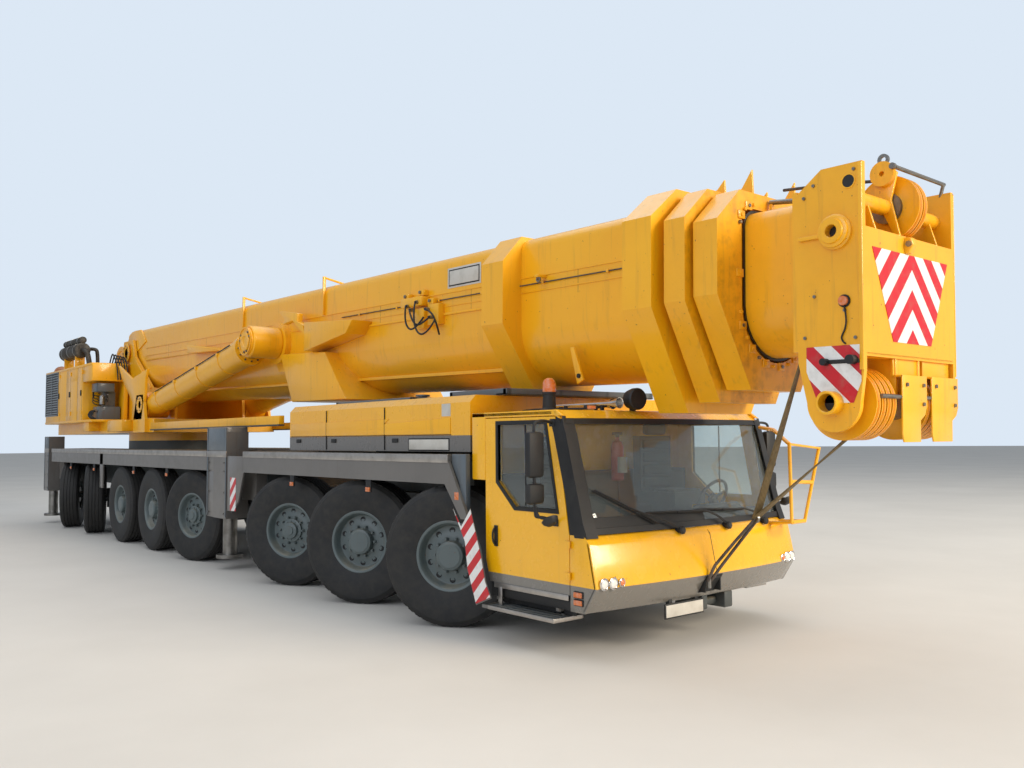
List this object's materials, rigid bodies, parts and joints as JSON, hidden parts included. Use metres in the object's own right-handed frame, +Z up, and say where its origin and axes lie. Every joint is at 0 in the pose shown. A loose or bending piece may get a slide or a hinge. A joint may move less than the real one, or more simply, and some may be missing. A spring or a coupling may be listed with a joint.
{
  "type": "mobile crane",
  "caption": "Heavy all-terrain mobile crane: a multi-axle carrier with cab, a turning upper carriage and a telescopic boom laid forward over the cab.",
  "frame": {"origin": "on the ground, midway along and across the crane in road trim", "axes": "+X forward, +Y to the left, +Z up"},
  "size_m": [20.2609, 3.4938, 4.165],
  "materials": {
    "chassis": "satin dark grey paint",
    "grey_panel": "satin metallic grey paint",
    "yellow": "gloss yellow paint",
    "tyre": "worn black tyre rubber",
    "steel": "bright worn steel",
    "glass": "clear laminated glass",
    "trim": "matt black plastic"
  },
  "bodies": {
    "carrier": {"chassis_frame": "chassis", "driveline": "chassis", "decks": "grey_panel", "engine_hood": "yellow", "cab_shell": "yellow", "cab_glass": "glass", "cab_fittings": "trim", "cab_interior": "trim"},
    "wheel_1_left": {"wheel_1_left": "tyre"},
    "knuckle_1_left": {"knuckle_1_left": "chassis"},
    "wheel_1_right": {"wheel_1_right": "tyre"},
    "knuckle_1_right": {"knuckle_1_right": "chassis"},
    "wheel_2_left": {"wheel_2_left": "tyre"},
    "knuckle_2_left": {"knuckle_2_left": "chassis"},
    "wheel_2_right": {"wheel_2_right": "tyre"},
    "knuckle_2_right": {"knuckle_2_right": "chassis"},
    "wheel_3_left": {"wheel_3_left": "tyre"},
    "knuckle_3_left": {"knuckle_3_left": "chassis"},
    "wheel_3_right": {"wheel_3_right": "tyre"},
    "knuckle_3_right": {"knuckle_3_right": "chassis"},
    "wheel_4_left": {"wheel_4_left": "tyre"},
    "knuckle_4_left": {"knuckle_4_left": "chassis"},
    "wheel_4_right": {"wheel_4_right": "tyre"},
    "knuckle_4_right": {"knuckle_4_right": "chassis"},
    "wheel_5_left": {"wheel_5_left": "tyre"},
    "wheel_5_right": {"wheel_5_right": "tyre"},
    "wheel_6_left": {"wheel_6_left": "tyre"},
    "wheel_6_right": {"wheel_6_right": "tyre"},
    "wheel_7_left": {"wheel_7_left": "tyre"},
    "knuckle_7_left": {"knuckle_7_left": "chassis"},
    "wheel_7_right": {"wheel_7_right": "tyre"},
    "knuckle_7_right": {"knuckle_7_right": "chassis"},
    "wheel_8_left": {"wheel_8_left": "tyre"},
    "knuckle_8_left": {"knuckle_8_left": "chassis"},
    "wheel_8_right": {"wheel_8_right": "tyre"},
    "knuckle_8_right": {"knuckle_8_right": "chassis"},
    "outrigger_beam_front_right": {"outrigger_beam_front_right": "grey_panel"},
    "outrigger_jack_front_right": {"outrigger_jack_front_right": "steel"},
    "outrigger_beam_front_left": {"outrigger_beam_front_left": "grey_panel"},
    "outrigger_jack_front_left": {"outrigger_jack_front_left": "steel"},
    "outrigger_beam_rear_right": {"outrigger_beam_rear_right": "grey_panel"},
    "outrigger_jack_rear_right": {"outrigger_jack_rear_right": "steel"},
    "outrigger_beam_rear_left": {"outrigger_beam_rear_left": "grey_panel"},
    "outrigger_jack_rear_left": {"outrigger_jack_rear_left": "steel"},
    "cab_door_left": {"cab_door_left": "yellow"},
    "cab_door_right": {"cab_door_right": "yellow"},
    "upper": {"upper_frame": "yellow", "upper_housing": "yellow"},
    "hoist_drum": {"hoist_drum": "steel"},
    "crane_cab": {"crane_cab": "yellow"},
    "crane_cab_door": {"crane_cab_door": "yellow"},
    "boom_base": {"boom_base": "yellow"},
    "luff_barrels": {"luff_barrels": "yellow"},
    "luff_rods": {"luff_rods": "steel"},
    "boom_tele_1": {"boom_tele_1": "yellow"},
    "boom_tele_2": {"boom_tele_2": "yellow"},
    "boom_tele_3": {"boom_tele_3": "yellow"},
    "head_sheaves_upper": {"head_sheaves_upper": "yellow"},
    "head_sheaves_lower": {"head_sheaves_lower": "yellow"}
  },
  "joints": [
    {"name": "steer_1_left", "type": "hinge", "parent": "carrier", "child": "knuckle_1_left", "pos_m": [5.8, 1, 0.69], "axis": [0, 0, 1], "range_deg": [-68, 2]},
    {"name": "roll_1_left", "type": "hinge", "parent": "knuckle_1_left", "child": "wheel_1_left", "pos_m": [5.64206, 1.24321, 0.69], "axis": [-0.5446, 0.8387, 0], "continuous": true},
    {"name": "steer_1_right", "type": "hinge", "parent": "carrier", "child": "knuckle_1_right", "pos_m": [5.8, -1, 0.69], "axis": [0, 0, 1], "range_deg": [-68.3, 2.3]},
    {"name": "roll_1_right", "type": "hinge", "parent": "knuckle_1_right", "child": "wheel_1_right", "pos_m": [5.95794, -1.24321, 0.69], "axis": [-0.5446, 0.8387, 0], "continuous": true},
    {"name": "steer_2_left", "type": "hinge", "parent": "carrier", "child": "knuckle_2_left", "pos_m": [4.1, 1, 0.69], "axis": [0, 0, 1], "range_deg": [-64.18, 2.18]},
    {"name": "roll_2_left", "type": "hinge", "parent": "knuckle_2_left", "child": "wheel_2_left", "pos_m": [3.95064, 1.24858, 0.69], "axis": [-0.515, 0.8572, 0], "continuous": true},
    {"name": "steer_2_right", "type": "hinge", "parent": "carrier", "child": "knuckle_2_right", "pos_m": [4.1, -1, 0.69], "axis": [0, 0, 1], "range_deg": [-64.18, 2.18]},
    {"name": "roll_2_right", "type": "hinge", "parent": "knuckle_2_right", "child": "wheel_2_right", "pos_m": [4.24936, -1.24858, 0.69], "axis": [-0.515, 0.8572, 0], "continuous": true},
    {"name": "steer_3_left", "type": "hinge", "parent": "carrier", "child": "knuckle_3_left", "pos_m": [2.4, 1, 0.69], "axis": [0, 0, 1], "range_deg": [-58, 2]},
    {"name": "roll_3_left", "type": "hinge", "parent": "knuckle_3_left", "child": "wheel_3_left", "pos_m": [2.26385, 1.25605, 0.69], "axis": [-0.4695, 0.8829, 0], "continuous": true},
    {"name": "steer_3_right", "type": "hinge", "parent": "carrier", "child": "knuckle_3_right", "pos_m": [2.4, -1, 0.69], "axis": [0, 0, 1], "range_deg": [-58, 2]},
    {"name": "roll_3_right", "type": "hinge", "parent": "knuckle_3_right", "child": "wheel_3_right", "pos_m": [2.53615, -1.25605, 0.69], "axis": [-0.4695, 0.8829, 0], "continuous": true},
    {"name": "steer_4_left", "type": "hinge", "parent": "carrier", "child": "knuckle_4_left", "pos_m": [-0.75, 1, 0.69], "axis": [0, 0, 1], "range_deg": [-31.21, 1.21]},
    {"name": "roll_4_left", "type": "hinge", "parent": "knuckle_4_left", "child": "wheel_4_left", "pos_m": [-0.82506, 1.28012, 0.69], "axis": [-0.2588, 0.9659, 0], "continuous": true},
    {"name": "steer_4_right", "type": "hinge", "parent": "carrier", "child": "knuckle_4_right", "pos_m": [-0.75, -1, 0.69], "axis": [0, 0, 1], "range_deg": [-31.21, 1.21]},
    {"name": "roll_4_right", "type": "hinge", "parent": "knuckle_4_right", "child": "wheel_4_right", "pos_m": [-0.67494, -1.28012, 0.69], "axis": [-0.2588, 0.9659, 0], "continuous": true},
    {"name": "roll_5_left", "type": "hinge", "parent": "carrier", "child": "wheel_5_left", "pos_m": [-2.45, 1.29, 0.69], "axis": [0, 1, 0], "continuous": true},
    {"name": "roll_5_right", "type": "hinge", "parent": "carrier", "child": "wheel_5_right", "pos_m": [-2.45, -1.29, 0.69], "axis": [0, 1, 0], "continuous": true},
    {"name": "roll_6_left", "type": "hinge", "parent": "carrier", "child": "wheel_6_left", "pos_m": [-4.15, 1.29, 0.69], "axis": [0, 1, 0], "continuous": true},
    {"name": "roll_6_right", "type": "hinge", "parent": "carrier", "child": "wheel_6_right", "pos_m": [-4.15, -1.29, 0.69], "axis": [0, 1, 0], "continuous": true},
    {"name": "steer_7_left", "type": "hinge", "parent": "carrier", "child": "knuckle_7_left", "pos_m": [-6.3, 1, 0.69], "axis": [0, 0, 1], "range_deg": [-1.39, 37.39]},
    {"name": "roll_7_left", "type": "hinge", "parent": "knuckle_7_left", "child": "wheel_7_left", "pos_m": [-6.21038, 1.27581, 0.69], "axis": [0.309, 0.9511, 0], "continuous": true},
    {"name": "steer_7_right", "type": "hinge", "parent": "carrier", "child": "knuckle_7_right", "pos_m": [-6.3, -1, 0.69], "axis": [0, 0, 1], "range_deg": [-1.39, 37.39]},
    {"name": "roll_7_right", "type": "hinge", "parent": "knuckle_7_right", "child": "wheel_7_right", "pos_m": [-6.38962, -1.27581, 0.69], "axis": [0.309, 0.9511, 0], "continuous": true},
    {"name": "steer_8_left", "type": "hinge", "parent": "carrier", "child": "knuckle_8_left", "pos_m": [-8, 1, 0.69], "axis": [0, 0, 1], "range_deg": [-1.63, 45.63]},
    {"name": "roll_8_left", "type": "hinge", "parent": "knuckle_8_left", "child": "wheel_8_left", "pos_m": [-7.89136, 1.26888, 0.69], "axis": [0.3746, 0.9272, 0], "continuous": true},
    {"name": "steer_8_right", "type": "hinge", "parent": "carrier", "child": "knuckle_8_right", "pos_m": [-8, -1, 0.69], "axis": [0, 0, 1], "range_deg": [-1.63, 45.63]},
    {"name": "roll_8_right", "type": "hinge", "parent": "knuckle_8_right", "child": "wheel_8_right", "pos_m": [-8.10864, -1.26888, 0.69], "axis": [0.3746, 0.9272, 0], "continuous": true},
    {"name": "extend_front_right", "type": "slide", "parent": "carrier", "child": "outrigger_beam_front_right", "axis": [0, -1, 0], "range_m": [0, 1.9]},
    {"name": "jack_front_right", "type": "slide", "parent": "outrigger_beam_front_right", "child": "outrigger_jack_front_right", "axis": [0, 0, -1], "range_m": [0, 0.6]},
    {"name": "extend_front_left", "type": "slide", "parent": "carrier", "child": "outrigger_beam_front_left", "axis": [0, 1, 0], "range_m": [0, 1.9]},
    {"name": "jack_front_left", "type": "slide", "parent": "outrigger_beam_front_left", "child": "outrigger_jack_front_left", "axis": [0, 0, -1], "range_m": [0, 0.6]},
    {"name": "extend_rear_right", "type": "slide", "parent": "carrier", "child": "outrigger_beam_rear_right", "axis": [0, -1, 0], "range_m": [0, 1.9]},
    {"name": "jack_rear_right", "type": "slide", "parent": "outrigger_beam_rear_right", "child": "outrigger_jack_rear_right", "axis": [0, 0, -1], "range_m": [0, 0.6]},
    {"name": "extend_rear_left", "type": "slide", "parent": "carrier", "child": "outrigger_beam_rear_left", "axis": [0, 1, 0], "range_m": [0, 1.9]},
    {"name": "jack_rear_left", "type": "slide", "parent": "outrigger_beam_rear_left", "child": "outrigger_jack_rear_left", "axis": [0, 0, -1], "range_m": [0, 0.6]},
    {"name": "open_cab_door_left", "type": "hinge", "parent": "carrier", "child": "cab_door_left", "pos_m": [7.792, 1.416, 1.2], "axis": [0, 0, -1], "range_deg": [0, 75]},
    {"name": "open_cab_door_right", "type": "hinge", "parent": "carrier", "child": "cab_door_right", "pos_m": [7.792, -1.416, 1.2], "axis": [0, 0, 1], "range_deg": [0, 75]},
    {"name": "slew", "type": "hinge", "parent": "carrier", "child": "upper", "pos_m": [-5.225, 0, 1.62], "axis": [0, 0, 1], "continuous": true},
    {"name": "hoist", "type": "hinge", "parent": "upper", "child": "hoist_drum", "pos_m": [-7.81, 0, 3.56], "axis": [0, 1, 0], "continuous": true},
    {"name": "crane_cab_tilt", "type": "hinge", "parent": "upper", "child": "crane_cab", "pos_m": [-6.24, 0.99, 2.3], "axis": [0, -1, 0], "range_deg": [0, 20]},
    {"name": "crane_cab_door_slide", "type": "slide", "parent": "crane_cab", "child": "crane_cab_door", "axis": [-1, 0, 0], "range_m": [0, 0.65]},
    {"name": "luff", "type": "hinge", "parent": "upper", "child": "boom_base", "pos_m": [-6.4, 0, 3.68], "axis": [0, -1, 0], "range_deg": [0, 83]},
    {"name": "barrel_swing", "type": "hinge", "parent": "upper", "child": "luff_barrels", "pos_m": [-3.88, 0, 2.51], "axis": [0, -1, 0], "range_deg": [-0.3, 89.52]},
    {"name": "rod_slide", "type": "slide", "parent": "luff_barrels", "child": "luff_rods", "axis": [0.9864, 0, 0.1644], "range_m": [-0.01, 3.6294]},
    {"name": "extend_tele_1", "type": "slide", "parent": "boom_base", "child": "boom_tele_1", "axis": [0.9998, 0, -0.0202], "range_m": [0, 11.3]},
    {"name": "extend_tele_2", "type": "slide", "parent": "boom_tele_1", "child": "boom_tele_2", "axis": [0.9998, 0, -0.0202], "range_m": [0, 11.3]},
    {"name": "extend_tele_3", "type": "slide", "parent": "boom_tele_2", "child": "boom_tele_3", "axis": [0.9998, 0, -0.0202], "range_m": [0, 11.3]},
    {"name": "turn_head_sheaves_upper", "type": "hinge", "parent": "boom_tele_3", "child": "head_sheaves_upper", "pos_m": [9.9309, 0, 3.55937], "axis": [0, 1, 0], "continuous": true},
    {"name": "turn_head_sheaves_lower", "type": "hinge", "parent": "boom_tele_3", "child": "head_sheaves_lower", "pos_m": [9.81076, 0, 2.07149], "axis": [0, 1, 0], "continuous": true}
  ],
  "couplings": [
    {"joint": "steer_1_right", "follows": "steer_1_left", "ratio": 1},
    {"joint": "steer_2_left", "follows": "steer_1_left", "ratio": 0.93939},
    {"joint": "steer_2_right", "follows": "steer_1_left", "ratio": 0.93939},
    {"joint": "steer_3_left", "follows": "steer_1_left", "ratio": 0.84849},
    {"joint": "steer_3_right", "follows": "steer_1_left", "ratio": 0.84849},
    {"joint": "steer_4_left", "follows": "steer_1_left", "ratio": 0.45454},
    {"joint": "steer_4_right", "follows": "steer_1_left", "ratio": 0.45454},
    {"joint": "steer_7_left", "follows": "steer_1_left", "ratio": -0.54546},
    {"joint": "steer_7_right", "follows": "steer_1_left", "ratio": -0.54546},
    {"joint": "steer_8_left", "follows": "steer_1_left", "ratio": -0.66667},
    {"joint": "steer_8_right", "follows": "steer_1_left", "ratio": -0.66667},
    {"joint": "barrel_swing", "follows": "luff", "ratio": 1.0749},
    {"joint": "rod_slide", "follows": "luff", "m_per_rad": 2.4985}
  ]
}
